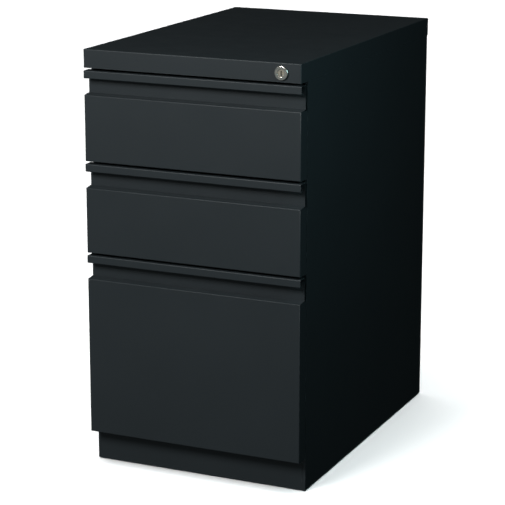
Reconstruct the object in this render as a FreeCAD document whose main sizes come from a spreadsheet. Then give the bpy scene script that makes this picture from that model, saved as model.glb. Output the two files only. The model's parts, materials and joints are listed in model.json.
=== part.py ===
"""Three-drawer steel pedestal cabinet: two box drawers over one file drawer.

The frame is +X to the cabinet's right as seen from the front, +Y to its back and +Z up.
The origin lies on the floor under the middle of the whole cabinet, lock included.
"""
import FreeCAD, Part
import math
import os
import re
import Sketcher

Vector = FreeCAD.Vector

# Every size that can be set by itself, in millimetres or degrees.
DIMENSIONS = {
    # the whole cabinet
    "width": 381.0, "depth": 581.0, "height": 705.0,
    "overlay": 26.0,            # drawer faces stand this far ahead of the case
    "back_inset": 4.0,          # the cap reaches this far behind the case
    "skin": 1.0, "seam": 0.1, "running": 0.3,
    # top cap and base
    "lip_tall": 30.5, "lip_return": 10.0, "edge_round": 1.5,
    "base_tall": 57.0, "foot_tall": 2.0, "foot_radius": 15.0, "foot_inset": 24.0,
    "stem_radius": 4.0, "stem_tall": 10.0,
    "rail_wide": 40.0, "rail_tall": 24.0, "rail_skin": 1.5,
    "pan_drop": 6.0, "pan_flange": 12.0,
    # case sides
    "front_flange": 5.5, "rear_flange": 14.0, "tongue_lap": 10.0, "tongue_gap": 3.0,
    "post_wide": 30.0, "post_deep": 5.0, "post_start": 24.0, "rear_post_inset": 131.0,
    "top_rail_tall": 26.0,
    "weight_wide": 300.0, "weight_long": 90.0, "weight_thick": 10.0, "weight_inset": 30.0,
    # drawer faces and their pulls
    "face_gap": 4.5, "box_face": 149.25,
    "bar_tall": 13.0, "bar_return": 9.0, "grip_tall": 27.0, "grip_deep": 17.5,
    "floor_drop": 2.0, "crest_round": 2.2, "return_deep": 24.3,
    # drawer trays and what is fixed to them
    "tray_skin": 0.8, "tray_room": 52.6, "tray_rise": 12.0, "tray_top_drop": 42.0,
    "hem_deep": 5.0,
    "hat_wide": 300.0, "hat_tall": 34.0, "hat_brim": 16.0, "hat_rise": 32.0,
    "screw_radius": 2.0, "screw_head": 4.0, "screw_head_tall": 2.2, "screw_long": 6.0,
    "screw_spread": 120.0,
    "folder_rail_tall": 12.0, "folder_rail_skin": 1.2, "folder_rail_start": 40.0,
    "folder_rail_rise": 4.0,
    "bumper_radius": 2.2, "bumper_inset": 2.75, "bumper_from_end": 20.0,
    # telescopic slides
    "slide_room": 49.0, "slide_tall": 45.0, "slide_wide": 12.7, "slide_start": 2.0,
    "slide_rise": 10.0, "file_slide_rise": 90.0,
    "outer_flange": 10.5, "outer_skin": 1.2, "middle_flange": 8.5, "middle_skin": 1.0,
    "inner_flange": 8.0, "inner_skin": 1.2,
    # lock
    "lock_inset": 33.0, "lock_drop": 16.0, "lock_proud": 3.0, "bezel_radius": 11.5,
    "barrel_radius": 9.0, "barrel_long": 24.0, "plug_radius": 6.0, "plug_fit": 0.05,
    "plug_sunk": 0.8, "plug_long": 28.5, "keyway_wide": 1.8, "keyway_tall": 8.0,
    "keyway_deep": 12.0, "nut_flats": 24.0, "nut_thick": 4.0,
    "cam_thick": 2.0, "cam_throw": 10.0, "cam_hub": 6.0, "cam_eye": 4.0, "cam_pin": 2.0,
    "cam_pin_long": 3.5, "cam_screw_head": 3.4, "cam_screw_tall": 2.0,
    "bar_start": 5.0, "bar_wide": 14.0, "bar_thick": 1.5, "bar_play": 1.5,
    "fork_play": 0.5, "fork_tine": 3.5, "fork_plate": 2.0,
    "tab_clear": 2.5, "tab_tall": 12.0, "tab_below": 2.0, "tab_plate": 2.0,
    "catch_reach": 6.0, "catch_tall": 12.0, "catch_below": 4.0, "catch_skin": 1.5,
    "catch_long": 12.0,
    "guide_skin": 1.0, "guide_tall": 16.0, "guide_over": 22.0, "guide_under": 80.0,
}

doc = FreeCAD.newDocument("pedestal_cabinet")
dims = doc.addObject("Spreadsheet::Sheet", "dims")
for row, (name, size) in enumerate(DIMENSIONS.items(), 1):
    dims.set(f"A{row}", name)
    dims.set(f"B{row}", str(size))
    dims.setAlias(f"B{row}", name)
doc.recompute()

sub_parts = []


def linked(formula):
    """Point each dimension named in a formula at its cell."""
    return re.sub(r"[a-z][a-z_]*", lambda m: f"dims.{m[0]}" if m[0] in DIMENSIONS else m[0],
                  f"({formula})")


def value(formula):
    return float(dims.evalExpression(linked(formula)))


# ---------------------------------------------------------------- drawing helpers

def new_body(label):
    body = doc.addObject("PartDesign::Body", label)
    body.Label = label
    sub_parts.append(body)
    return body


PLANES = {"x": "YZ_Plane", "y": "XZ_Plane", "z": "XY_Plane"}


def new_sketch(body, axis, height):
    """Sketch across an axis, at a height along it. The XZ plane faces backwards along -Y."""
    plane = next(f for f in body.Origin.OriginFeatures if f.Role == PLANES[axis])
    sketch = body.newObject("Sketcher::SketchObject", f"{body.Label}_sketch")
    sketch.AttachmentSupport = [(plane, "")]
    sketch.MapMode = "FlatFace"
    sign = "-1" if axis == "y" else "1"
    sketch.setExpression("AttachmentOffset.Base.z", linked(f"{sign} * ({height})"))
    return sketch


def pin_point(sketch, geometry, corner, point):
    """Tie one point of a sketch to two formulas."""
    for kind, formula in zip(("DistanceX", "DistanceY"), point):
        index = sketch.addConstraint(
            Sketcher.Constraint(kind, -1, 1, geometry, corner, value(formula)))
        sketch.setExpression(f"Constraints[{index}]", linked(formula))


def draw_outline(sketch, outline):
    places = [Vector(value(u), value(v), 0) for u, v in outline]
    first = sketch.GeometryCount
    count = len(outline)
    for i in range(count):
        sketch.addGeometry(Part.LineSegment(places[i], places[(i + 1) % count]), False)
    for i in range(count):
        sketch.addConstraint(Sketcher.Constraint(
            "Coincident", first + i, 2, first + (i + 1) % count, 1))
        pin_point(sketch, first + i, 1, outline[i])


def draw_circle(sketch, centre, radius):
    at = Vector(value(centre[0]), value(centre[1]), 0)
    index = sketch.addGeometry(Part.Circle(at, Vector(0, 0, 1), value(radius)), False)
    pin_point(sketch, index, 3, centre)
    size = sketch.addConstraint(Sketcher.Constraint("Radius", index, value(radius)))
    sketch.setExpression(f"Constraints[{size}]", linked(radius))


def extrude(body, axis, low, high, outlines=(), circles=(), cut=False):
    """Pad or pocket a drawing between two heights along an axis.

    A pad runs along its sketch's normal and a pocket against it.
    """
    from_low = cut == (axis == "y")
    sketch = new_sketch(body, axis, low if from_low else high)
    for outline in outlines:
        draw_outline(sketch, outline)
    for centre, radius in circles:
        draw_circle(sketch, centre, radius)
    kind = "PartDesign::Pocket" if cut else "PartDesign::Pad"
    feature = body.newObject(kind, f"{body.Label}_{'cut' if cut else 'pad'}")
    feature.Profile = sketch
    feature.setExpression("Length", linked(f"({high}) - ({low})"))
    return feature


def rectangle(u_low, u_high, v_low, v_high):
    return [(u_low, v_low), (u_high, v_low), (u_high, v_high), (u_low, v_high)]


def folded(path, thickness):
    """Outline of a folded strip: the path is one face, the metal lies on its left."""
    places = [(value(u), value(v)) for u, v in path]
    normals = []
    for (u_from, v_from), (u_to, v_to) in zip(places, places[1:]):
        run = math.hypot(u_to - u_from, v_to - v_from)
        normals.append((round((v_from - v_to) / run), round((u_to - u_from) / run)))
    other_face = []
    for i, (u, v) in enumerate(path):
        touching = {normals[max(i - 1, 0)], normals[min(i, len(normals) - 1)]}
        across, up = (sum(n[k] for n in touching) for k in (0, 1))
        other_face.append((f"{u} + {across} * ({thickness})", f"{v} + {up} * ({thickness})"))
    return path + other_face[::-1]


def round_edges(body, radius, chosen):
    """Fillet the edges of a body whose pair of ends passes a test."""
    doc.recompute()
    tip = body.Tip
    names = [f"Edge{i}" for i, edge in enumerate(tip.Shape.Edges, 1)
             if len(edge.Vertexes) == 2 and chosen(*(v.Point for v in edge.Vertexes))]
    fillet = body.newObject("PartDesign::Fillet", f"{body.Label}_round")
    fillet.Base = (tip, names)
    fillet.setExpression("Radius", linked(radius))


def near(number, formula):
    return abs(number - value(formula)) < 1e-4


# ---------------------------------------------------------------- shared places

HALF = "width / 2"
FACE = "(-(depth + lock_proud) / 2 + lock_proud)"      # the drawer faces' plane
BACK = "((depth + lock_proud) / 2)"                    # the cap's rear edge
CASE_FRONT = f"({FACE} + overlay)"
CASE_BACK = f"({BACK} - back_inset)"
CASE_TOP = "(height - lip_tall - seam)"
UNDER_CAP = "(height - skin)"
PAN_TOP = "(base_tall - pan_drop)"
POST_FACE = "(width / 2 - skin - seam - post_deep)"
SLIDE_OUTSIDE = f"({POST_FACE} - seam)"
TRAY_SIDE = f"({SLIDE_OUTSIDE} - slide_wide - seam)"
SLIDE_FRONT = f"({CASE_FRONT} + slide_start)"
SLIDE_BACK = f"({CASE_BACK} - slide_room)"
TRAY_FRONT = f"({FACE} + return_deep + seam)"
TRAY_BACK = f"({CASE_BACK} - tray_room)"
LOCK_X = "(width / 2 - lock_inset)"
LOCK_Z = "(height - lock_drop)"
SIDES = {"left": "-1", "right": "1"}

top = "(height - lip_tall - face_gap)"
FACES = []                                             # each drawer's bottom and top
for drawer in (1, 2):
    FACES.append((f"({top} - box_face)", top))
    top = f"({top} - box_face - face_gap)"
FACES.append(("base_tall", top))


# ---------------------------------------------------------------- case

def side_panel(name, side):
    """A folded side with a narrow front flange, a rear flange and a tongue into the cap."""
    body = new_body(f"side_panel_{name}")
    rear = f"({CASE_BACK} - skin - seam)"
    plan = [(f"{side} * ({HALF} - front_flange)", CASE_FRONT), (f"{side} * {HALF}", CASE_FRONT),
            (f"{side} * {HALF}", rear), (f"{side} * ({HALF} - rear_flange)", rear)]
    extrude(body, "z", "foot_tall", CASE_TOP, [folded(plan, f"{side} * skin")])
    inner = f"({HALF} - skin)"
    tongue = [(f"{inner} - seam - skin", f"{CASE_TOP} - tongue_lap"),
              (inner, f"{CASE_TOP} - tongue_lap"), (inner, CASE_TOP),
              (f"{inner} - seam", CASE_TOP),
              (f"{inner} - seam", f"{UNDER_CAP} - tongue_gap"),
              (f"{inner} - seam - skin", f"{UNDER_CAP} - tongue_gap")]
    extrude(body, "y", f"{CASE_FRONT} + skin", f"{rear} - skin",
            [[(f"{side} * ({u})", v) for u, v in tongue]])


def back_panel():
    """A flat back over the side panels' rear flanges, stepped in where it enters the cap."""
    body = new_body("back_panel")
    step = f"({HALF} - skin - seam)"
    extrude(body, "y", f"{CASE_BACK} - skin", CASE_BACK,
            [[(f"-{HALF}", "foot_tall"), (HALF, "foot_tall"), (HALF, CASE_TOP), (step, CASE_TOP),
              (step, f"{UNDER_CAP} - tongue_gap"), (f"-{step}", f"{UNDER_CAP} - tongue_gap"),
              (f"-{step}", CASE_TOP), (f"-{HALF}", CASE_TOP)]])


def top_cap():
    """A shallow lid with a deep lip all round, returned under the front and drilled for the lock."""
    body = new_body("top_cap")
    extrude(body, "z", "height - lip_tall", "height", [rectangle(f"-{HALF}", HALF, FACE, BACK)])
    inner = f"({HALF} - skin)"
    extrude(body, "z", "height - lip_tall", UNDER_CAP,
            [rectangle(f"-{inner}", inner, f"{FACE} + skin", f"{BACK} - skin")], cut=True)
    extrude(body, "z", "height - lip_tall", "height - lip_tall + skin",
            [rectangle(f"-{inner}", inner, f"{FACE} + skin / 2", f"{FACE} + lip_return")])
    extrude(body, "y", f"{FACE} - skin", f"{FACE} + 2 * skin",
            circles=[((LOCK_X, LOCK_Z), "barrel_radius + seam")], cut=True)

    def corner_edge(start, end):
        at_end = near(start.y, FACE) or near(start.y, BACK)
        upright = near(start.x - end.x, "0") and near(start.y - end.y, "0")
        return upright and at_end and near(abs(start.x), HALF)

    def rim_edge(start, end):
        return near(start.z, "height") and near(end.z, "height")

    round_edges(body, "edge_round", lambda a, b: corner_edge(a, b) or rim_edge(a, b))


def bottom_pan():
    """The floor of the case, with its long edges folded down."""
    body = new_body("bottom_pan")
    half = f"({HALF} - skin - seam)"
    path = [(half, f"{PAN_TOP} - pan_flange"), (half, PAN_TOP), (f"-{half}", PAN_TOP),
            (f"-{half}", f"{PAN_TOP} - pan_flange")]
    extrude(body, "y", f"{CASE_FRONT} + skin + seam", f"{CASE_BACK} - 2 * (skin + seam)",
            [folded(path, "skin")])


def plinth_front():
    """The kick plate, set back under the lowest drawer and flush with the side panels."""
    body = new_body("plinth_front")
    half = f"({HALF} - front_flange - seam)"
    shelf = f"({PAN_TOP} - skin - seam)"
    path = [(CASE_FRONT, shelf), (CASE_FRONT, "foot_tall")]
    extrude(body, "x", f"-{half}", half, [folded(path, "skin")])
    ledge = [(f"{CASE_FRONT} + skin / 2", shelf), (f"{CASE_FRONT} + pan_flange", shelf)]
    extrude(body, "x", f"-{half} + pan_flange", f"{half} - pan_flange", [folded(ledge, "-skin")])


def foot_places(at_back):
    """Where the two feet of one base rail stand, across and along."""
    if at_back:
        along = f"{CASE_BACK} - 2 * (skin + seam) - rail_wide / 2"
    else:
        along = f"{CASE_FRONT} + skin + seam + rail_wide / 2"
    return [(f"{side} * ({HALF} - foot_inset)", along) for side in SIDES.values()]


def base_rail(name, at_back):
    """A trough across the bottom that carries two feet."""
    body = new_body(f"base_rail_{name}")
    half = f"({HALF} - skin - seam)"
    if at_back:
        back = f"({CASE_BACK} - 2 * (skin + seam))"
        front = f"({back} - rail_wide)"
    else:
        front = f"({CASE_FRONT} + skin + seam)"
        back = f"({front} + rail_wide)"
    floor = "(foot_tall + seam)"
    path = [(front, f"{floor} + rail_tall"), (front, floor), (back, floor),
            (back, f"{floor} + rail_tall")]
    extrude(body, "x", f"-{half}", half, [folded(path, "rail_skin")])
    extrude(body, "z", f"{floor} - rail_skin", f"{floor} + 2 * rail_skin",
            circles=[(at, "stem_radius + seam") for at in foot_places(at_back)], cut=True)


def foot_pads():
    """Four plastic feet pushed up into the base rails by their stems."""
    body = new_body("foot_pads")
    places = foot_places(False) + foot_places(True)
    extrude(body, "z", "0", "foot_tall", circles=[(at, "foot_radius") for at in places])
    extrude(body, "z", "foot_tall - seam", "foot_tall + stem_tall",
            circles=[(at, "stem_radius") for at in places])


def slide_post(name, side, front):
    """An upright channel welded to a side panel, which carries the slides."""
    body = new_body(name)
    inner = f"({HALF} - skin - seam)"
    path = [(inner, front), (POST_FACE, front), (POST_FACE, f"{front} + post_wide"),
            (inner, f"{front} + post_wide")]
    outline = folded([(f"{side} * {u}", v) for u, v in path], f"-1 * ({side}) * skin")
    extrude(body, "z", f"{PAN_TOP} + seam", f"{CASE_TOP} - tongue_lap - seam", [outline])


def top_rail():
    """A channel that ties the two side panels together under the cap."""
    body = new_body("top_rail_front")
    half = f"({HALF} - 2 * (skin + seam))"
    front = f"({CASE_FRONT} + post_start)"
    high = f"({UNDER_CAP} - seam)"
    low = f"({high} - top_rail_tall)"
    path = [(front, low), (front, high), (f"{front} + post_wide", high),
            (f"{front} + post_wide", low)]
    extrude(body, "x", f"-{half}", half, [folded(path, "-1 * skin")])


def counterweight():
    """A steel slab on the floor at the back, which keeps the cabinet from tipping forwards."""
    body = new_body("counterweight")
    rear = f"({CASE_BACK} - weight_inset)"
    extrude(body, "z", f"{PAN_TOP} + seam", f"{PAN_TOP} + seam + weight_thick",
            [rectangle("-weight_wide / 2", "weight_wide / 2", f"{rear} - weight_long", rear)])


def drawer_bumpers():
    """Soft dots on the side panels' front flanges, two a side for each drawer."""
    body = new_body("drawer_bumpers")
    places = []
    for low, high in FACES:
        for side in SIDES.values():
            across = f"{side} * ({HALF} - bumper_inset)"
            places += [(across, f"{low} + bumper_from_end"),
                       (across, f"{high} - bar_tall - grip_tall - bumper_from_end")]
    extrude(body, "y", f"{FACE} + return_deep + running", CASE_FRONT,
            circles=[(at, "bumper_radius") for at in places])


# ---------------------------------------------------------------- drawers

def drawer_front(number, low, high):
    """A folded face whose top edge is rolled into a full-width pull over a finger channel."""
    body = new_body(f"drawer_{number}_front")
    crest = f"({high} - bar_tall - grip_tall)"
    wall = f"({FACE} + grip_deep)"
    behind, bar_low = f"({FACE} + skin)", f"({high} - bar_tall)"
    section = [
        (f"{FACE} + bar_return", bar_low), (FACE, bar_low), (FACE, high), (f"{wall} + skin", high),
        (f"{wall} + skin", f"{crest} - skin + floor_drop"), (behind, f"{crest} - skin"),
        (behind, f"{low} + skin"), (f"{FACE} + return_deep", f"{low} + skin"),
        (f"{FACE} + return_deep", low), (FACE, low), (FACE, crest),
        (wall, f"{crest} + floor_drop"), (wall, f"{high} - skin"), (behind, f"{high} - skin"),
        (behind, f"{bar_low} + skin"), (f"{FACE} + bar_return", f"{bar_low} + skin")]
    extrude(body, "x", f"-{HALF}", HALF, [section])
    cheek = rectangle(FACE, f"{FACE} + return_deep", low, f"{crest} - skin / 2")
    extrude(body, "x", f"{HALF} - skin", HALF, [cheek])
    extrude(body, "x", f"-{HALF}", f"-{HALF} + skin", [cheek])

    def level_edge(start, end, height):
        on_face = near(start.y, FACE) and near(end.y, FACE)
        return on_face and near(start.z, height) and near(end.z, height)

    def corner_edge(start, end):
        upright = abs(start.z - end.z) > value("skin") and near(start.y - end.y, "0")
        on_face = near(start.y, FACE) and near(abs(start.x), HALF)
        return upright and on_face and max(start.z, end.z) < value(crest) + value("skin")

    round_edges(body, "edge_round", lambda a, b: level_edge(a, b, high) or level_edge(a, b, bar_low))
    round_edges(body, "edge_round", lambda a, b: (
        corner_edge(a, b) or level_edge(a, b, low) or level_edge(a, b, crest)))


def tray_levels(low, high):
    return f"({low} + tray_rise)", f"({high} - tray_top_drop)"


def screw_places(low):
    """Four fixings, above and below the stiffener's crown."""
    base = f"({low} + tray_rise + hat_rise)"
    heights = (f"{base} - hat_brim / 2", f"{base} + hat_tall + hat_brim / 2")
    return [(f"{side} * screw_spread", z) for side in SIDES.values() for z in heights]


def drawer_tray(number, low, high):
    """A four-walled tray of thin sheet, drilled for the screws that hold its face.

    The box drawers' rims are folded inwards. The file drawer's carry folder rails instead.
    """
    body = new_body(f"drawer_{number}_tray")
    floor, rim = tray_levels(low, high)
    extrude(body, "z", floor, rim, [rectangle(f"-{TRAY_SIDE}", TRAY_SIDE, TRAY_FRONT, TRAY_BACK)])
    hem = "0" if number == len(FACES) else "hem_deep"
    under_rim = f"({rim} - tray_skin)"
    for bottom, top_level, margin in ((f"({floor} + tray_skin)", under_rim, "tray_skin"),
                                      (under_rim, rim, f"(tray_skin + {hem})")):
        side = f"({TRAY_SIDE} - {margin})"
        extrude(body, "z", bottom, top_level,
                [rectangle(f"-{side}", side, f"{TRAY_FRONT} + {margin}", f"{TRAY_BACK} - {margin}")],
                cut=True)
    extrude(body, "y", f"{TRAY_FRONT} - tray_skin", f"{TRAY_FRONT} + 2 * tray_skin",
            circles=[(at, "screw_radius + seam") for at in screw_places(low)], cut=True)


def stiffener(number, low):
    """A hat-shaped channel between the face and the tray, which the screws bite into."""
    body = new_body(f"drawer_{number}_stiffener")
    brim = f"({FACE} + return_deep)"
    crown = f"({FACE} + skin + seam)"
    base = f"({low} + tray_rise + hat_rise)"
    extrude(body, "x", "-hat_wide / 2", "hat_wide / 2", [hat_outline(brim, crown, base)])
    extrude(body, "y", f"{brim} - 2 * skin", f"{brim} + skin",
            circles=[(at, "screw_radius + seam") for at in screw_places(low)], cut=True)


def hat_outline(brim, crown, base):
    """Section of the hat channel: two brims at the tray, a crown at the face."""
    top_of_hat = f"{base} + hat_tall"
    return [(brim, f"{base} - hat_brim"), (brim, f"{base} + skin"), (f"{crown} + skin", f"{base} + skin"),
            (f"{crown} + skin", f"{top_of_hat} - skin"), (brim, f"{top_of_hat} - skin"),
            (brim, f"{top_of_hat} + hat_brim"), (f"{brim} - skin", f"{top_of_hat} + hat_brim"),
            (f"{brim} - skin", top_of_hat), (crown, top_of_hat), (crown, base),
            (f"{brim} - skin", base), (f"{brim} - skin", f"{base} - hat_brim")]


def face_screws(number, low):
    """Four round-headed screws driven from inside the tray."""
    body = new_body(f"drawer_{number}_screws")
    seat = f"({TRAY_FRONT} + tray_skin + seam)"
    places = screw_places(low)
    extrude(body, "y", seat, f"{seat} + screw_head_tall",
            circles=[(at, "screw_head") for at in places])
    extrude(body, "y", f"{seat} - screw_long", f"{seat} + screw_head_tall / 2",
            circles=[(at, "screw_radius") for at in places])


def lock_catch(number, low, high):
    """A small angle on the tray's right side, which the lock bar's tab rises in front of."""
    body = new_body(f"drawer_{number}_catch")
    rim = tray_levels(low, high)[1]
    side = f"({TRAY_SIDE} + seam)"
    front = f"({CASE_FRONT} + bar_start + tab_plate + running)"
    path = [(side, f"{front} + catch_long"), (side, front), (f"{side} + catch_reach", front)]
    extrude(body, "z", f"{rim} - catch_below - catch_tall", f"{rim} - catch_below",
            [folded(path, "catch_skin")])


def folder_rail(name, side, low, high):
    """A steel strip pushed over a tray wall, which hanging folders hook on to."""
    body = new_body(f"folder_rail_{name}")
    rim = tray_levels(low, high)[1]
    outside = f"({TRAY_SIDE} + seam + folder_rail_skin)"
    inside = f"({TRAY_SIDE} - tray_skin - seam - folder_rail_skin)"
    foot = f"({rim} + folder_rail_rise - folder_rail_tall)"
    crown = f"({rim} + folder_rail_rise)"
    saddle = f"({rim} + seam)"
    section = [(outside, foot), (outside, crown), (inside, crown), (inside, foot),
               (f"{inside} + folder_rail_skin", foot), (f"{inside} + folder_rail_skin", saddle),
               (f"{outside} - folder_rail_skin", saddle), (f"{outside} - folder_rail_skin", foot)]
    extrude(body, "y", f"{TRAY_FRONT} + folder_rail_start",
            f"{TRAY_BACK} - folder_rail_start",
            [[(f"{side} * ({u})", v) for u, v in section]])


# ---------------------------------------------------------------- slides

def slide_set(number, name, side, bottom):
    """One telescopic slide: a member on the post, a middle member and one on the tray."""
    outer_low, outer_high = bottom, f"({bottom} + slide_tall)"
    step = "(outer_skin + running)"
    members = {}
    web = SLIDE_OUTSIDE
    members["cabinet"] = ([(f"{web} - outer_flange", outer_low), (web, outer_low),
                           (web, outer_high), (f"{web} - outer_flange", outer_high)], "outer_skin")
    low, high, web = f"({outer_low} + {step})", f"({outer_high} - {step})", f"({web} - {step})"
    members["middle"] = ([(f"{web} - middle_flange", low), (web, low), (web, high),
                          (f"{web} - middle_flange", high)], "middle_skin")
    step = "(middle_skin + running)"
    low, high = f"({low} + {step})", f"({high} - {step})"
    web = f"({SLIDE_OUTSIDE} - slide_wide)"
    members["drawer"] = ([(f"{web} + inner_flange", high), (web, high), (web, low),
                          (f"{web} + inner_flange", low)], "inner_skin")
    for member, (path, thickness) in members.items():
        body = new_body(f"slide_{number}_{name}_{member}")
        outline = folded([(f"{side} * ({u})", v) for u, v in path], f"{side} * {thickness}")
        extrude(body, "y", SLIDE_FRONT, SLIDE_BACK, [outline])


# ---------------------------------------------------------------- lock

def lock_housing():
    """The lock's fixed shell: a bezel against the lip and a barrel behind it."""
    body = new_body("lock_housing")
    centre = (LOCK_X, LOCK_Z)
    extrude(body, "y", f"{FACE} - lock_proud", f"{FACE} - seam", circles=[(centre, "bezel_radius")])
    extrude(body, "y", f"{FACE} - lock_proud / 2", f"{FACE} + barrel_long",
            circles=[(centre, "barrel_radius")])
    extrude(body, "y", f"{FACE} - lock_proud - skin", f"{FACE} + barrel_long + skin",
            circles=[(centre, "plug_radius + plug_fit")], cut=True)
    rim = f"{FACE} - lock_proud"
    doc.recompute()
    tip = body.Tip
    names = [f"Edge{i}" for i, edge in enumerate(tip.Shape.Edges, 1)
             if near(edge.CenterOfMass.y, rim) and edge.Length > 2 * math.pi * value("barrel_radius")]
    fillet = body.newObject("PartDesign::Fillet", "lock_housing_round")
    fillet.Base = (tip, names)
    fillet.setExpression("Radius", linked("edge_round"))


def lock_nut():
    """The hexagon nut that clamps the lock to the lip."""
    body = new_body("lock_nut")
    corner = "nut_flats / (2 * cos(30 deg))"
    hexagon = [(f"{LOCK_X} + {corner} * cos({60 * i} deg)", f"{LOCK_Z} + {corner} * sin({60 * i} deg)")
               for i in range(6)]
    seat = f"({FACE} + skin + seam)"
    extrude(body, "y", seat, f"{seat} + nut_thick", [hexagon])
    extrude(body, "y", f"{seat} - skin", f"{seat} + nut_thick + skin",
            circles=[((LOCK_X, LOCK_Z), "barrel_radius + seam")], cut=True)


def lock_plug():
    """The part that the key turns, with an upright keyway."""
    body = new_body("lock_plug")
    front = f"({FACE} - lock_proud + plug_sunk)"
    extrude(body, "y", front, f"{FACE} + plug_long", circles=[((LOCK_X, LOCK_Z), "plug_radius")])
    slot = rectangle(f"{LOCK_X} - keyway_wide / 2", f"{LOCK_X} + keyway_wide / 2",
                     f"{LOCK_Z} - keyway_tall / 2", f"{LOCK_Z} + keyway_tall / 2")
    extrude(body, "y", f"{front} - skin", f"{front} + keyway_deep", [slot], cut=True)


THROW_X = f"({LOCK_X} + cam_throw * cos(45 deg))"
THROW_Z = f"({LOCK_Z} - cam_throw * sin(45 deg))"
CAM_FRONT = f"({FACE} + plug_long + plug_fit)"


def lock_cam():
    """A crank on the plug's end whose pin lifts and drops the lock bar."""
    body = new_body("lock_cam")
    back = f"({CAM_FRONT} + cam_thick)"
    arm = [(f"{x} + {sign} * cam_eye * cos(45 deg)", f"{z} + {sign} * cam_eye * sin(45 deg)")
           for x, z, sign in ((LOCK_X, LOCK_Z, 1), (THROW_X, THROW_Z, 1),
                              (THROW_X, THROW_Z, -1), (LOCK_X, LOCK_Z, -1))]
    extrude(body, "y", CAM_FRONT, back, circles=[((LOCK_X, LOCK_Z), "cam_hub")])
    extrude(body, "y", CAM_FRONT, back, circles=[((THROW_X, THROW_Z), "cam_eye")])
    extrude(body, "y", CAM_FRONT, back, [arm])
    extrude(body, "y", f"{back} - cam_thick / 2", f"{back} + cam_pin_long",
            circles=[((THROW_X, THROW_Z), "cam_pin")])


def cam_screw():
    """The screw that holds the crank on the plug."""
    body = new_body("cam_screw")
    seat = f"({CAM_FRONT} + cam_thick + plug_fit)"
    extrude(body, "y", seat, f"{seat} + cam_screw_tall", circles=[((LOCK_X, LOCK_Z), "cam_screw_head")])


BAR_FRONT = f"({CASE_FRONT} + bar_start)"
BAR_OUTSIDE = f"({HALF} - skin - bar_play - skin)"


def guide_level(which):
    """Height of a guide's middle: 0 above the top drawer's tab, 1 below the lowest one's."""
    if which == 0:
        return f"({tray_levels(*FACES[0])[1]} + guide_over)"
    return f"({tray_levels(*FACES[-1])[1]} - guide_under)"


def lock_bar():
    """A flat upright bar with a fork at its head and one tab for each drawer."""
    body = new_body("lock_bar")
    inside = f"({BAR_OUTSIDE} - bar_thick)"
    crown = f"({THROW_Z} + cam_pin + fork_play + fork_tine)"
    extrude(body, "x", inside, BAR_OUTSIDE,
            [rectangle(BAR_FRONT, f"{BAR_FRONT} + bar_wide",
                       f"{guide_level(1)} - 2 * guide_tall", crown)])
    slot_low = f"({THROW_Z} - cam_pin - fork_play)"
    slot_high = f"({THROW_Z} + cam_pin + fork_play)"
    mouth = f"({LOCK_X} + cam_screw_head + 5 * running)"
    root = f"({LOCK_X} + cam_throw + cam_pin + fork_play)"
    middle = f"({inside} + bar_thick / 2)"
    fork = [(middle, f"{slot_low} - fork_tine"), (middle, crown), (mouth, crown),
            (mouth, slot_high), (root, slot_high), (root, slot_low), (mouth, slot_low),
            (mouth, f"{slot_low} - fork_tine")]
    extrude(body, "y", BAR_FRONT, f"{BAR_FRONT} + fork_plate", [fork])
    for low, high in FACES:
        rim = tray_levels(low, high)[1]
        crown = f"({rim} - catch_below - catch_tall - tab_below)"
        extrude(body, "y", BAR_FRONT, f"{BAR_FRONT} + tab_plate",
                [rectangle(f"{TRAY_SIDE} + tab_clear", middle, f"{crown} - tab_tall", crown)])


def bar_guides():
    """Two straps on the right side panel that hold the lock bar and let it slide."""
    body = new_body("lock_bar_guides")
    wall = f"({HALF} - skin - seam)"
    inside = f"({BAR_OUTSIDE} - bar_thick - running - guide_skin)"
    front = f"({BAR_FRONT} - running - guide_skin)"
    back = f"({BAR_FRONT} + bar_wide + running + guide_skin)"
    outline = folded([(wall, back), (inside, back), (inside, front), (wall, front)], "guide_skin")
    for level in (guide_level(0), guide_level(1)):
        extrude(body, "z", f"{level} - guide_tall / 2", f"{level} + guide_tall / 2", [outline])


# ---------------------------------------------------------------- the assembly

for side_name, side_sign in SIDES.items():
    side_panel(side_name, side_sign)
    slide_post(f"front_post_{side_name}", side_sign, f"({CASE_FRONT} + post_start)")
    slide_post(f"rear_post_{side_name}", side_sign, f"({CASE_BACK} - rear_post_inset)")
    folder_rail(side_name, side_sign, *FACES[-1])
back_panel()
top_cap()
bottom_pan()
plinth_front()
base_rail("front", False)
base_rail("rear", True)
foot_pads()
top_rail()
counterweight()
drawer_bumpers()
for drawer, (face_low, face_high) in enumerate(FACES, 1):
    drawer_front(drawer, face_low, face_high)
    drawer_tray(drawer, face_low, face_high)
    stiffener(drawer, face_low)
    face_screws(drawer, face_low)
    lock_catch(drawer, face_low, face_high)
    rise = "file_slide_rise" if drawer == len(FACES) else "slide_rise"
    for side_name, side_sign in SIDES.items():
        slide_set(drawer, side_name, side_sign, f"({face_low} + tray_rise + {rise})")
lock_housing()
lock_nut()
lock_plug()
lock_cam()
cam_screw()
lock_bar()
bar_guides()
doc.recompute()

# ---------------------------------------------------------------- checks and files

for item in doc.Objects:
    if {"Invalid", "Error"} & set(item.State):
        raise RuntimeError(f"{item.Label} failed: {item.State}")
    if item.TypeId == "PartDesign::Pocket":
        before, after = item.BaseFeature.Shape.Volume, item.Shape.Volume
        if after >= before - 1e-6:
            raise RuntimeError(f"{item.Label} cuts nothing")
for sub_part in sub_parts:
    if sub_part.Shape.isNull() or not sub_part.Shape.isValid():
        raise RuntimeError(f"{sub_part.Label} has no valid shape")

os.makedirs("parts", exist_ok=True)
for sub_part in sub_parts:
    sub_part.Shape.exportStep(f"parts/{sub_part.Label}.step")
print(len(sub_parts), "sub-parts written")
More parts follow.
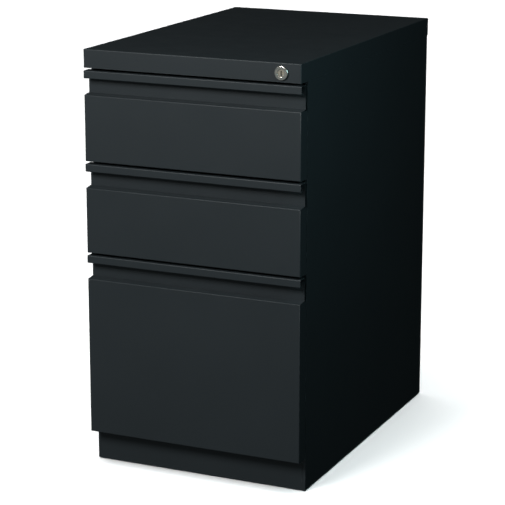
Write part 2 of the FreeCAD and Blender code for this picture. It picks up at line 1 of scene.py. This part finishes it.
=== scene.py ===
# %% [markdown]
# A desk-height steel pedestal cabinet: two box drawers over one file drawer.
# The sheet-metal shapes are already exact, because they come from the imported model.
# This lesson gives them what a bench gives a real cabinet: softened edges, paint with a
# texture that a fingertip can feel, zinc and nickel where there is no paint, and real light.

# %% Load the cabinet as a fixed frame
import json
import math

import bmesh
import bpy
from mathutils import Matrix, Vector


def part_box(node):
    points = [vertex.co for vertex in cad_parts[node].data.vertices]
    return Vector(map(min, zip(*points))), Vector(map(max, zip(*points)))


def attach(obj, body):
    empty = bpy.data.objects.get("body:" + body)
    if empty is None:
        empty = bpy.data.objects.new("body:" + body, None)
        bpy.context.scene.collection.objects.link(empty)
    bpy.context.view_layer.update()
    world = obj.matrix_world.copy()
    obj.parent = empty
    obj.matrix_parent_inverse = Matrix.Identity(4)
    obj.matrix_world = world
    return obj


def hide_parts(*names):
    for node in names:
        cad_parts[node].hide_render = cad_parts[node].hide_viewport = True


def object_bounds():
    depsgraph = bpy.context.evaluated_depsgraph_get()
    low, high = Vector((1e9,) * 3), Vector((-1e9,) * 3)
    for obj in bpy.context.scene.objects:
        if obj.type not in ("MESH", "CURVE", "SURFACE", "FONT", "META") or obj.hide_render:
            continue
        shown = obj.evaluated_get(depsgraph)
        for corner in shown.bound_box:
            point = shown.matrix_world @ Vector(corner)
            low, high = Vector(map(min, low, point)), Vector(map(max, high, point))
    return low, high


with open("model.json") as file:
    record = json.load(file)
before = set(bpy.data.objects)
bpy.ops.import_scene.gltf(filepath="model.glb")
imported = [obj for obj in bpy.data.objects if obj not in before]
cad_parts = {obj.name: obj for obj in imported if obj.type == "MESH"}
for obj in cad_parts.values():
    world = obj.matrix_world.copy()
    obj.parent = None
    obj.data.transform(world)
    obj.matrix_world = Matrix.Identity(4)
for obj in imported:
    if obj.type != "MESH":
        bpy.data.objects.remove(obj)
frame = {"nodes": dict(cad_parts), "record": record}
cad_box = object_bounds()
MM = 0.001
slot_of = {part["node"]: part["material_slot"] for part in frame["record"]["subparts"]}
print(len(slot_of), "pieces,", [round(side, 3) for side in cad_box[1] - cad_box[0]], "m overall")

# %% [markdown]
# Folded sheet has no knife edges: the press leaves a small radius and paint fills what is left.
# An edge with no radius catches no light, which is the surest sign of a computer model.
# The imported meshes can't be edited, but modifiers can be stacked on them. Weld joins the split
# corners, a planar dissolve turns triangles back into whole faces, Bevel rounds each sharp edge
# and weighted normals keep the flats flat. A tray's rim is a narrow ring round its opening,
# and the dissolve can close such a ring over like a lid, so trays keep their triangles.

# %% Round every sharp edge a little
EDGE_RADIUS = {"case_paint": 0.35 * MM, "face_paint": 0.35 * MM, "tray_paint": 0.2 * MM,
               "slide_steel": 0.25 * MM, "zinc_sheet": 0.25 * MM, "screw_zinc": 0.2 * MM,
               "lock_nickel": 0.25 * MM, "plug_nickel": 0.12 * MM, "foot_plastic": 0.6 * MM,
               "bumper_rubber": 0.3 * MM, "weight_iron": 1.0 * MM}
SHARP = math.radians(40)


def soften(node, radius, whole_faces):
    """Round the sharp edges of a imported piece, outward faces staying where they are."""
    weld = node.modifiers.new("join_corners", "WELD")
    weld.merge_threshold = 0.002 * MM
    if whole_faces:
        flatten = node.modifiers.new("whole_faces", "DECIMATE")
        flatten.decimate_type = "DISSOLVE"
        flatten.angle_limit = math.radians(0.2)
    bevel = node.modifiers.new("edge_radius", "BEVEL")
    bevel.width = radius
    bevel.segments = 2
    bevel.limit_method = "ANGLE"
    bevel.angle_limit = SHARP
    bevel.miter_outer = "MITER_ARC"
    normals = node.modifiers.new("flat_flats", "WEIGHTED_NORMAL")
    normals.weight = 100


for name, node in frame["nodes"].items():
    soften(node, EDGE_RADIUS[slot_of[name]], not name.endswith("_tray"))
print("softened", len(frame["nodes"]), "pieces")

# %% [markdown]
# Each finish is a small graph of nodes. They all start in the same way: coordinates in metres,
# so that a texture has its real size on every piece, and a principled shader at the end.
# A helper class keeps the graphs short enough to read as recipes.

# %% A bench for mixing finishes


class Finish:
    """One material, built up step by step from coordinates in metres."""

    def __init__(self, name, colour, roughness, metallic=0.0):
        self.material = bpy.data.materials.new(name)
        self.material.use_nodes = True
        self.material.diffuse_color = (*colour, 1)
        self.nodes = self.material.node_tree.nodes
        self.links = self.material.node_tree.links
        self.nodes.clear()
        output = self.nodes.new("ShaderNodeOutputMaterial")
        self.shader = self.nodes.new("ShaderNodeBsdfPrincipled")
        self.links.new(self.shader.outputs["BSDF"], output.inputs["Surface"])
        self.metres = self.nodes.new("ShaderNodeTexCoord").outputs["Object"]
        self.set("Base Color", (*colour, 1))
        self.set("Roughness", roughness)
        self.set("Metallic", metallic)
        self.relief = None

    def set(self, socket, value):
        self.shader.inputs[socket].default_value = value

    def feed(self, socket, source):
        self.links.new(source, self.shader.inputs[socket])

    def put(self, socket, source):
        """A number goes on the socket itself and anything else is linked to it."""
        if isinstance(source, (int, float)):
            socket.default_value = source
        else:
            self.links.new(source, socket)

    def math(self, operation, *values):
        node = self.nodes.new("ShaderNodeMath")
        node.operation = operation
        for socket, source in zip(node.inputs, values):
            self.put(socket, source)
        return node.outputs[0]

    def stretched(self, along):
        """Coordinates scaled differently along each axis."""
        node = self.nodes.new("ShaderNodeMapping")
        node.inputs["Scale"].default_value = along
        self.links.new(self.metres, node.inputs["Vector"])
        return node.outputs[0]

    def noise(self, grain, detail=2.0, where=None):
        """Cloudy noise whose features are about one grain across, in metres."""
        node = self.nodes.new("ShaderNodeTexNoise")
        node.inputs["Scale"].default_value = 1 / grain
        node.inputs["Detail"].default_value = detail
        self.links.new(where or self.metres, node.inputs["Vector"])
        return node.outputs["Fac"]

    def cells(self, grain):
        """A patchwork of crystals about one grain across."""
        node = self.nodes.new("ShaderNodeTexVoronoi")
        node.inputs["Scale"].default_value = 1 / grain
        self.links.new(self.metres, node.inputs["Vector"])
        return node.outputs["Color"]

    def spread(self, source, low, high, to_low=0.0, to_high=1.0):
        node = self.nodes.new("ShaderNodeMapRange")
        for socket, value in zip(node.inputs, (source, low, high, to_low, to_high)):
            self.put(socket, value)
        return node.outputs[0]

    def mix(self, share, first, second):
        """One colour turning into another. Each is a colour or another mix."""
        node = self.nodes.new("ShaderNodeMix")
        node.data_type = "RGBA"
        self.put(node.inputs[0], share)
        for socket, colour in ((node.inputs[6], first), (node.inputs[7], second)):
            if isinstance(colour, tuple):
                socket.default_value = (*colour, 1)
            else:
                self.links.new(colour, socket)
        return node.outputs[2]

    def bump(self, height, deep):
        """Add relief that is deep metres from its lowest to its highest point."""
        node = self.nodes.new("ShaderNodeBump")
        node.inputs["Strength"].default_value = 1.0
        node.inputs["Distance"].default_value = deep
        self.links.new(height, node.inputs["Height"])
        if self.relief:
            self.links.new(self.relief, node.inputs["Normal"])
        self.relief = node.outputs[0]
        self.feed("Normal", self.relief)


def shade(colour, factor):
    return tuple(channel * factor for channel in colour)


print("the bench is ready")

# %% [markdown]
# Powder coat is sprayed as dry dust and baked until it flows together. It never flows quite
# flat: it keeps an orange-peel ripple a few millimetres across and a fine grain under that.
# Corners take less powder and get rubbed by hands and sleeves, so the paint there is a shade
# lighter and glossier. Where the corners are is worked out from each piece's own box: a point
# is near an edge where the second smallest of its distances to the box's sides is small.

# %% Powder coat
CHARCOAL = (0.0150, 0.0192, 0.0216)
RUBBED = (0.075, 0.082, 0.087)
DUST = (0.050, 0.054, 0.056)
RUB_WIDTH = 1.1 * MM


def distance_to_edges(paint, low, high):
    """Distance, in metres, from a point on the piece to the nearest edge of its box."""
    axes = paint.nodes.new("ShaderNodeSeparateXYZ")
    paint.links.new(paint.metres, axes.inputs[0])
    sides = []
    for axis in range(3):
        from_low = paint.math("SUBTRACT", axes.outputs[axis], low[axis])
        from_high = paint.math("SUBTRACT", high[axis], axes.outputs[axis])
        sides.append(paint.math("MINIMUM", from_low, from_high))
    lesser = paint.math("MINIMUM", sides[0], sides[1])
    greater = paint.math("MAXIMUM", sides[0], sides[1])
    return paint.math("MAXIMUM", lesser, paint.math("MINIMUM", greater, sides[2]))


def powder_coat(name, node_name, colour):
    paint = Finish(name, colour, 0.46)
    paint.set("Specular IOR Level", 0.24)
    broad = paint.spread(paint.noise(160 * MM, 3), 0.3, 0.7)
    base = paint.mix(broad, shade(colour, 0.96), shade(colour, 1.04))
    grains = paint.spread(paint.noise(0.55 * MM, 1), 0.58, 0.75, 0.0, 0.35)
    base = paint.mix(grains, base, shade(colour, 1.5))
    low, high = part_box(node_name)
    edge = paint.spread(distance_to_edges(paint, low, high), 0.0, RUB_WIDTH, 1.0, 0.0)
    patchy = paint.spread(paint.noise(9 * MM, 4), 0.42, 0.68)
    rub = paint.math("MULTIPLY", edge, paint.math("MULTIPLY", patchy, 0.55))
    base = paint.mix(rub, base, RUBBED)
    facing = paint.nodes.new("ShaderNodeNewGeometry").outputs["Normal"]
    parts = paint.nodes.new("ShaderNodeSeparateXYZ")
    paint.links.new(facing, parts.inputs[0])
    upward = paint.spread(parts.outputs["Z"], 0.8, 1.0, 0.0, 0.10)
    settled = paint.math("MULTIPLY", upward, paint.spread(paint.noise(24 * MM, 5), 0.35, 0.75))
    paint.feed("Base Color", paint.mix(settled, base, DUST))
    smudge = paint.spread(paint.noise(70 * MM, 4), 0.3, 0.7, 0.44, 0.48)
    paint.feed("Roughness", paint.math("SUBTRACT", smudge, paint.math("MULTIPLY", rub, 0.12)))
    paint.bump(paint.noise(3.2 * MM, 1), 0.035 * MM)
    paint.bump(paint.noise(0.7 * MM, 2), 0.012 * MM)
    return paint.material


PAINTS = {"case_paint": CHARCOAL, "face_paint": shade(CHARCOAL, 1.04), "tray_paint": shade(CHARCOAL, 0.9)}
materials = {}
for name, slot in slot_of.items():
    if slot in PAINTS:
        materials[name] = powder_coat(f"powder_{name}", name, PAINTS[slot])
print(len(materials), "painted pieces")

# %% [markdown]
# What hides inside is bare or plated steel. Galvanised sheet shows spangle, the flat crystals
# that zinc freezes into. Slides are rolled from bright strip, so fine lines run along them.
# Both are metals in the shader, with the lines made by stretching noise along one axis.

# %% Zinc, rolled steel and iron


def galvanised(name, colour):
    zinc = Finish(name, colour, 0.36, metallic=1.0)
    spangle = zinc.nodes.new("ShaderNodeSeparateColor")
    zinc.links.new(zinc.cells(7 * MM), spangle.inputs[0])
    crystal = spangle.outputs[0]
    zinc.feed("Base Color", zinc.mix(crystal, shade(colour, 0.82), shade(colour, 1.12)))
    haze = zinc.spread(zinc.noise(30 * MM, 4), 0.3, 0.7, 0.0, 0.12)
    zinc.feed("Roughness", zinc.math("ADD", zinc.spread(crystal, 0.0, 1.0, 0.28, 0.40), haze))
    zinc.bump(zinc.noise(0.9 * MM, 2), 0.006 * MM)
    return zinc.material


def rolled_steel(name, colour):
    steel = Finish(name, colour, 0.27, metallic=1.0)
    lines = steel.noise(1.1 * MM, 3, steel.stretched((1, 0.01, 1)))
    steel.feed("Base Color", steel.mix(lines, shade(colour, 0.90), shade(colour, 1.05)))
    grease = steel.spread(steel.noise(35 * MM, 4), 0.35, 0.65, 0.22, 0.36)
    steel.feed("Roughness", grease)
    steel.bump(lines, 0.004 * MM)
    return steel.material


def cast_iron(name, colour):
    iron = Finish(name, colour, 0.7, metallic=0.4)
    skin = iron.noise(2.2 * MM, 5)
    iron.feed("Base Color", iron.mix(iron.spread(skin, 0.35, 0.7), colour, shade(colour, 1.7)))
    iron.feed("Roughness", iron.spread(skin, 0.3, 0.7, 0.6, 0.82))
    iron.bump(skin, 0.18 * MM)
    return iron.material


by_slot = {
    "zinc_sheet": galvanised("galvanised_sheet", (0.47, 0.48, 0.49)),
    "slide_steel": rolled_steel("rolled_slide_steel", (0.55, 0.56, 0.57)),
    "screw_zinc": galvanised("zinc_plated_screw", (0.56, 0.57, 0.56)),
    "weight_iron": cast_iron("cast_iron_skin", (0.055, 0.053, 0.050)),
}
print("metals:", ", ".join(by_slot))

# %% [markdown]
# The lock is the one bright thing on the front. Its bezel is turned on a lathe and plated with
# nickel, so its marks are rings round the lock's own axis. The plug is satin, with a faint
# upright grain, and is slightly yellower where keys have rubbed it.

# %% Nickel
lock_low, lock_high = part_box("lock_housing")
lock_centre = (lock_low + lock_high) / 2


def turned_nickel(name, colour):
    nickel = Finish(name, colour, 0.16, metallic=1.0)
    axes = nickel.nodes.new("ShaderNodeSeparateXYZ")
    nickel.links.new(nickel.metres, axes.inputs[0])
    across = nickel.math("SUBTRACT", axes.outputs["X"], lock_centre.x)
    up = nickel.math("SUBTRACT", axes.outputs["Z"], lock_centre.z)
    radius = nickel.math("POWER", nickel.math("ADD", nickel.math("MULTIPLY", across, across),
                                              nickel.math("MULTIPLY", up, up)), 0.5)
    rings = nickel.math("SINE", nickel.math("MULTIPLY", radius, 2 * math.pi / (0.22 * MM)))
    tarnish = nickel.spread(nickel.noise(4 * MM, 4), 0.4, 0.75)
    nickel.feed("Base Color", nickel.mix(tarnish, colour, (0.50, 0.46, 0.38)))
    nickel.feed("Roughness", nickel.spread(tarnish, 0.0, 1.0, 0.13, 0.34))
    nickel.bump(rings, 0.003 * MM)
    return nickel.material


def satin_nickel(name, colour):
    nickel = Finish(name, colour, 0.3, metallic=1.0)
    grain = nickel.noise(0.12 * MM, 2, nickel.stretched((1, 1, 0.05)))
    rubbed = nickel.spread(nickel.noise(2.5 * MM, 3), 0.35, 0.7)
    nickel.feed("Base Color", nickel.mix(rubbed, colour, (0.45, 0.39, 0.28)))
    nickel.feed("Roughness", nickel.spread(grain, 0.3, 0.7, 0.24, 0.42))
    nickel.bump(grain, 0.006 * MM)
    return nickel.material


by_slot["lock_nickel"] = turned_nickel("turned_nickel", (0.66, 0.64, 0.60))
by_slot["plug_nickel"] = satin_nickel("satin_nickel", (0.52, 0.49, 0.43))
print("lock axis at", [round(value, 4) for value in lock_centre])

# %% [markdown]
# The feet are moulded nylon with the sparkle of a spark-eroded mould, and the bumpers are soft
# rubber that has picked up a little grey dust. Both are dull, so the roughness does the work.

# %% Nylon and rubber


def moulded(name, colour, roughness, grain):
    plastic = Finish(name, colour, roughness)
    texture = plastic.noise(grain, 3)
    scuffs = plastic.spread(plastic.noise(6 * MM, 4), 0.5, 0.75)
    plastic.feed("Base Color", plastic.mix(scuffs, colour, shade(colour, 2.4)))
    plastic.feed("Roughness", plastic.spread(texture, 0.3, 0.7, roughness - 0.08, roughness + 0.08))
    plastic.bump(texture, grain / 18)
    return plastic.material


by_slot["foot_plastic"] = moulded("black_nylon", (0.016, 0.016, 0.017), 0.55, 0.5 * MM)
by_slot["bumper_rubber"] = moulded("soft_rubber", (0.024, 0.024, 0.025), 0.8, 0.3 * MM)
print("dull finishes ready")

# %% Put each finish on its pieces
for name, node in frame["nodes"].items():
    finish = materials.get(name) or by_slot[slot_of[name]]
    for slot in node.material_slots:
        slot.material = finish
print("finished", len(frame["nodes"]), "pieces")

# %% [markdown]
# Four pan-head screws fix each face to its tray, and they show when a drawer is open. A packed
# screw is two plain cylinders. Here each is one surface turned about its axis: threads along
# the shank, a domed head, and a cross recess sunk where two crossing bars overlap the dome.

# %% Cross-recess screws
HEAD_TALL = 2.2 * MM
HEAD_RADIUS = 4.0 * MM
SHANK_RADIUS = 2.0 * MM
THREAD_PITCH = 0.8 * MM
THREAD_DEEP = 0.3 * MM
RECESS_DEEP = 1.3 * MM
RECESS_REACH = 2.3 * MM
RECESS_HALF = 0.42 * MM
ROUND_STEPS = 64


def recess(x, z):
    """How deep the cross is sunk at a place on the head: full inside the arms, none outside."""
    across, up = abs(x), abs(z)
    inside_arm = max(min(RECESS_HALF - across, RECESS_REACH - up),
                     min(RECESS_HALF - up, RECESS_REACH - across))
    share = min(1.0, max(0.0, inside_arm / (0.25 * MM) + 0.5))
    return RECESS_DEEP * share


def screw_rings(shank_long):
    """Radius and height along the screw, from its tip to the middle of its head."""
    rings = [(0.0, -shank_long), (SHANK_RADIUS * 0.6, -shank_long)]
    turns = int(shank_long / THREAD_PITCH)
    for turn in range(turns):
        start = -shank_long + 0.3 * MM + turn * THREAD_PITCH
        rings += [(SHANK_RADIUS - THREAD_DEEP, start), (SHANK_RADIUS, start + THREAD_PITCH / 2)]
    rings += [(SHANK_RADIUS, 0.0), (HEAD_RADIUS * 0.97, 0.0), (HEAD_RADIUS, 0.15 * MM)]
    for step in range(1, 25):
        angle = math.pi / 2 * step / 24
        rings.append((HEAD_RADIUS * math.cos(angle),
                      0.15 * MM + (HEAD_TALL - 0.15 * MM) * math.sin(angle) ** 0.8))
    return rings


def add_screw(mesh, centre_x, seat_y, centre_z, shank_long):
    previous = None
    for radius, height in screw_rings(shank_long):
        radius = max(radius, 0.01 * MM)
        ring = []
        for step in range(ROUND_STEPS):
            angle = 2 * math.pi * step / ROUND_STEPS
            x, z = radius * math.cos(angle), radius * math.sin(angle)
            sunk = recess(x, z) if height > HEAD_TALL / 3 else 0.0
            ring.append(mesh.verts.new((centre_x + x, seat_y + height - sunk, centre_z + z)))
        if previous:
            for i in range(ROUND_STEPS):
                j = (i + 1) % ROUND_STEPS
                mesh.faces.new((previous[i], ring[i], ring[j], previous[j]))
        else:
            mesh.faces.new(ring)
        previous = ring
    mesh.faces.new(previous[::-1])


def screw_group(drawer):
    low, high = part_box(f"{drawer}_screws")
    mesh = bmesh.new()
    seat = high.y - HEAD_TALL
    for x in (low.x + HEAD_RADIUS, high.x - HEAD_RADIUS):
        for z in (low.z + HEAD_RADIUS, high.z - HEAD_RADIUS):
            add_screw(mesh, x, seat, z, seat - low.y)
    bmesh.ops.recalc_face_normals(mesh, faces=mesh.faces)
    data = bpy.data.meshes.new(f"{drawer}_cross_screws")
    mesh.to_mesh(data)
    mesh.free()
    data.shade_smooth()
    piece = bpy.data.objects.new(data.name, data)
    bpy.context.scene.collection.objects.link(piece)
    data.materials.append(by_slot["screw_zinc"])
    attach(piece, drawer)
    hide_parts(f"{drawer}_screws")
    return piece


for number in (1, 2, 3):
    screws = screw_group(f"drawer_{number}")
    print(screws.name, len(screws.data.polygons), "faces")

# %% [markdown]
# A telescopic slide is three channels rolled from strip, one inside the next. Rolling leaves
# round corners, and the webs are punched with screw holes and slots all along. The packed
# members are plain channels of the right size, so each is rebuilt in the same box: the section
# is drawn with arcs, pulled out along the slide, and the punching is cut with a boolean.

# %% Rolled and punched slide members
BEND_STEPS = 5
BEND_RADIUS = 3.0 * MM
HOLE_RADIUS = 2.6 * MM
SLOT_HALF = 5.0 * MM
HOLE_PITCH = 48 * MM
SHEET = {"cabinet": 1.2 * MM, "middle": 1.0 * MM, "drawer": 1.2 * MM}


def arc(centre, radius, start):
    """Points of a quarter turn about a centre, from a start angle in quarter turns."""
    points = []
    for step in range(BEND_STEPS + 1):
        angle = math.pi / 2 * (start + step / BEND_STEPS)
        points.append((centre[0] + radius * math.cos(angle), centre[1] + radius * math.sin(angle)))
    return points


def channel_section(wide, tall, sheet):
    """A channel whose web is at zero and whose mouth is at its full width."""
    inner = BEND_RADIUS - sheet
    low, high = (BEND_RADIUS, BEND_RADIUS), (BEND_RADIUS, tall - BEND_RADIUS)
    outside = [(wide, 0)] + arc(low, BEND_RADIUS, 2)[::-1] + arc(high, BEND_RADIUS, 1)[::-1]
    inside = [(wide, tall), (wide, tall - sheet)] + arc(high, inner, 1) + arc(low, inner, 2)
    return outside + inside + [(wide, sheet)]


def pull_out(outline, length):
    """A closed solid with the outline as its end and a length along the second axis."""
    mesh = bmesh.new()
    near_end = [mesh.verts.new((x, 0, z)) for x, z in outline]
    far_end = [mesh.verts.new((x, length, z)) for x, z in outline]
    count = len(outline)
    for i in range(count):
        j = (i + 1) % count
        mesh.faces.new((near_end[i], near_end[j], far_end[j], far_end[i]))
    mesh.faces.new(near_end[::-1])
    mesh.faces.new(far_end)
    bmesh.ops.recalc_face_normals(mesh, faces=mesh.faces)
    return mesh


def punch(web_span, length, tall, slotted_first):
    """The punch tools: every other hole is a slot."""
    mesh = bmesh.new()
    count = int((length - HOLE_PITCH) / HOLE_PITCH)
    start = (length - (count - 1) * HOLE_PITCH) / 2
    for index in range(count):
        half = SLOT_HALF if (index % 2 == 0) == slotted_first else 0.0
        ring = []
        for step in range(32):
            angle = 2 * math.pi * step / 32
            y = HOLE_RADIUS * math.cos(angle) + math.copysign(half, math.cos(angle))
            ring.append((start + index * HOLE_PITCH + y, tall / 2 + HOLE_RADIUS * math.sin(angle)))
        ends = [[mesh.verts.new((x, y, z)) for y, z in ring] for x in (-web_span, web_span)]
        for i in range(32):
            j = (i + 1) % 32
            mesh.faces.new((ends[0][i], ends[0][j], ends[1][j], ends[1][i]))
        mesh.faces.new(ends[0][::-1])
        mesh.faces.new(ends[1])
    bmesh.ops.recalc_face_normals(mesh, faces=mesh.faces)
    return mesh


def as_object(name, mesh):
    """Turn a finished mesh into an object in the scene."""
    data = bpy.data.meshes.new(name)
    mesh.to_mesh(data)
    mesh.free()
    piece = bpy.data.objects.new(name, data)
    bpy.context.scene.collection.objects.link(piece)
    return piece


def slide_member(number, side, member, body):
    """One rolled and punched member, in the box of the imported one, riding its body."""
    node = f"slide_{number}_{side}_{member}"
    low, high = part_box(node)
    size = high - low
    sheet = SHEET[member]
    piece = as_object(f"{node}_rolled", pull_out(channel_section(size.x, size.z, sheet), size.y))
    tools = as_object("punch_tools", punch(3 * sheet, size.y, size.z, member != "middle"))
    cut = piece.modifiers.new("punched", "BOOLEAN")
    cut.object = tools
    cut.solver = "EXACT"
    shape = bpy.data.meshes.new_from_object(piece.evaluated_get(bpy.context.evaluated_depsgraph_get()))
    piece.modifiers.clear()
    bpy.data.objects.remove(tools)
    web_at_low = (side == "right") == (member == "drawer")
    for vertex in shape.vertices:
        x = low.x + vertex.co.x if web_at_low else high.x - vertex.co.x
        vertex.co = (x, low.y + vertex.co.y, low.z + vertex.co.z)
    if not web_at_low:
        shape.flip_normals()
    piece.data = shape
    shape.name = piece.name
    shape.materials.clear()
    shape.materials.append(by_slot["slide_steel"])
    shape.shade_smooth()
    edge = piece.modifiers.new("edge_radius", "BEVEL")
    edge.width = 0.15 * MM
    edge.segments = 1
    edge.limit_method = "ANGLE"
    edge.angle_limit = SHARP
    piece.modifiers.new("flat_flats", "WEIGHTED_NORMAL")
    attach(piece, body)
    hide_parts(node)
    return piece


for number in (1, 2, 3):
    for side in ("left", "right"):
        for member, body in (("cabinet", "cabinet"), ("middle", f"runners_{number}"),
                             ("drawer", f"drawer_{number}")):
            rolled = slide_member(number, side, member, body)
            print(rolled.name, len(rolled.data.polygons), "faces")

# %% [markdown]
# The studio is a pale floor under a pale dome, so that no horizon shows from any side. A dark
# cabinet on a bright floor would be washed out by what it reflects, and a studio stops
# that with black cards. Here the floor and dome are simply hidden from the cabinet's own
# reflections: they are seen by the camera and they catch shadows, and that is all.

# %% The floor and the dome
DOME_RADIUS = 30.0
PALE = 0.83
DOME_GLOW = 1.1


def stage_piece(name, mesh, material):
    """Add a piece of the studio that the cabinet doesn't reflect."""
    data = bpy.data.meshes.new(name)
    mesh.to_mesh(data)
    mesh.free()
    data.materials.append(material)
    piece = bpy.data.objects.new(name, data)
    bpy.context.scene.collection.objects.link(piece)
    piece.visible_glossy = False
    piece.visible_diffuse = False
    return piece


paper = Finish("pale_paper", (PALE, PALE, PALE), 0.9)
paper.set("Specular IOR Level", 0.1)
disc = bmesh.new()
bmesh.ops.create_circle(disc, cap_ends=True, segments=96, radius=DOME_RADIUS)
floor = stage_piece("studio_floor", disc, paper.material)
floor.location.z = cad_box[0].z

glow = Finish("pale_dome", (PALE, PALE, PALE), 1.0)
glow.set("Base Color", (0, 0, 0, 1))
glow.set("Emission Color", (1, 1, 1, 1))
glow.set("Emission Strength", DOME_GLOW)
shell = bmesh.new()
bmesh.ops.create_icosphere(shell, subdivisions=4, radius=DOME_RADIUS)
dome = stage_piece("studio_dome", shell, glow.material)
dome.visible_shadow = False
dome.visible_transmission = False
print("studio", 2 * DOME_RADIUS, "m across")

# %% [markdown]
# One softbox stands at the front left, a little above the cabinet and near enough that its
# light fades down the fronts, and the pulls throw short, soft shadows into the finger channels.
# A small cool lamp puts a sheen on the front of the dark side. The sky is a wide wall of light
# at the front, dim overhead and behind, so that bright metal has something to mirror. The
# floor has a lamp of its own, linked to nothing else.

# %% The lights
KEY_OFFSET = Vector((-0.45, -1.60, 0.85))
KEY_WIDE = 0.7
KEY_WATTS = 44.4
SIDE_OFFSET = Vector((0.80, -0.45, 0.55))
SIDE_WIDE = 0.4
SIDE_WATTS = 2.8
SIDE_TINT = (0.62, 1.0, 1.05)
FLOOR_SUN = 4.2
FLOOR_SPREAD = math.radians(60)


def softbox(name, place, aim, wide, watts, colour=(1, 1, 1)):
    """A square lamp at a place, turned towards what it lights."""
    lamp = bpy.data.lights.new(name, "AREA")
    lamp.shape = "SQUARE"
    lamp.size = wide
    lamp.energy = watts
    lamp.color = colour
    piece = bpy.data.objects.new(name, lamp)
    piece.location = place
    piece.rotation_mode = "QUATERNION"
    piece.rotation_quaternion = (Vector(aim) - Vector(place)).to_track_quat("-Z", "Y")
    piece.visible_camera = False
    bpy.context.scene.collection.objects.link(piece)
    return piece


middle = (cad_box[0] + cad_box[1]) / 2
front = Vector((middle.x, cad_box[0].y, cad_box[1].z))
flank = Vector((cad_box[1].x, middle.y - 0.15, middle.z + 0.2))
softbox("key", front + KEY_OFFSET, front - Vector((0, 0, 0.2)), KEY_WIDE, KEY_WATTS)
softbox("side_sheen", middle + SIDE_OFFSET, flank, SIDE_WIDE, SIDE_WATTS, SIDE_TINT)

floor_sun = bpy.data.lights.new("floor_lamp", "SUN")
floor_sun.energy = FLOOR_SUN
floor_sun.angle = FLOOR_SPREAD
floor_lamp = bpy.data.objects.new("floor_lamp", floor_sun)
bpy.context.scene.collection.objects.link(floor_lamp)
only_floor = bpy.data.collections.new("lit_by_the_floor_lamp")
only_floor.objects.link(floor)
floor_lamp.light_linking.receiver_collection = only_floor
print("key light at", [round(value, 2) for value in front + KEY_OFFSET])

# %% The sky
SKY_TOWARDS = Vector((-0.50, -0.85, 0.15)).normalized()
SKY_FRONT = 0.208
SKY_ABOVE = 0.082
SKY_ALL = 0.02
WALL_EDGE, CEILING_EDGE = 0.1, 0.3
SKY_TINT = (0.86, 0.98, 1.0, 1)

world = bpy.data.worlds.new("studio_sky")
world.use_nodes = True
sky = world.node_tree
direction = sky.nodes.new("ShaderNodeTexCoord").outputs["Generated"]


def sky_part(towards, edge, strength):
    """Light that grows smoothly from an edge to full strength straight towards a direction."""
    along = sky.nodes.new("ShaderNodeVectorMath")
    along.operation = "DOT_PRODUCT"
    sky.links.new(direction, along.inputs[0])
    along.inputs[1].default_value = towards
    ramp = sky.nodes.new("ShaderNodeMapRange")
    ramp.interpolation_type = "SMOOTHSTEP"
    sky.links.new(along.outputs["Value"], ramp.inputs["Value"])
    for socket, value in zip(("From Min", "From Max", "To Min", "To Max"),
                             (edge, 1.0, 0.0, strength)):
        ramp.inputs[socket].default_value = value
    return ramp.outputs[0]


def total(first, second):
    """The sum of two strengths, the second a socket or a number."""
    node = sky.nodes.new("ShaderNodeMath")
    node.operation = "ADD"
    sky.links.new(first, node.inputs[0])
    if isinstance(second, float):
        node.inputs[1].default_value = second
    else:
        sky.links.new(second, node.inputs[1])
    return node.outputs[0]


wall = sky_part(SKY_TOWARDS, WALL_EDGE, SKY_FRONT)
ceiling = sky_part((0, 0, 1), CEILING_EDGE, SKY_ABOVE)
sky.links.new(total(total(wall, ceiling), SKY_ALL), sky.nodes["Background"].inputs["Strength"])
sky.nodes["Background"].inputs["Color"].default_value = SKY_TINT
bpy.context.scene.world = world
bpy.context.scene.view_settings.view_transform = "Standard"
print("sky", SKY_FRONT, SKY_ABOVE, SKY_ALL)

# %% [markdown]
# The camera stands to the right of the cabinet and a little above it, with a long lens, so the
# upright edges lean in only slightly. Its place is measured from the middle of the front.

# %% The camera
TO_THE_RIGHT, IN_FRONT, EYE_HEIGHT = 1.345, 2.725, 1.172
TURN, TIP = math.radians(24.41), math.radians(13.74)
LENS = 139.3
SHIFT_DOWN = -0.050

face_low, face_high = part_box("drawer_1_front")
camera = bpy.data.objects.new("camera", bpy.data.cameras.new("camera"))
camera.data.lens = LENS
camera.data.sensor_width = 36
camera.data.shift_y = SHIFT_DOWN
camera.location = ((face_low.x + face_high.x) / 2 + TO_THE_RIGHT, face_low.y - IN_FRONT, EYE_HEIGHT)
camera.rotation_euler = (math.pi / 2 - TIP, 0, TURN)
bpy.context.scene.collection.objects.link(camera)
bpy.context.scene.camera = camera
print("camera at", [round(value, 3) for value in camera.location])
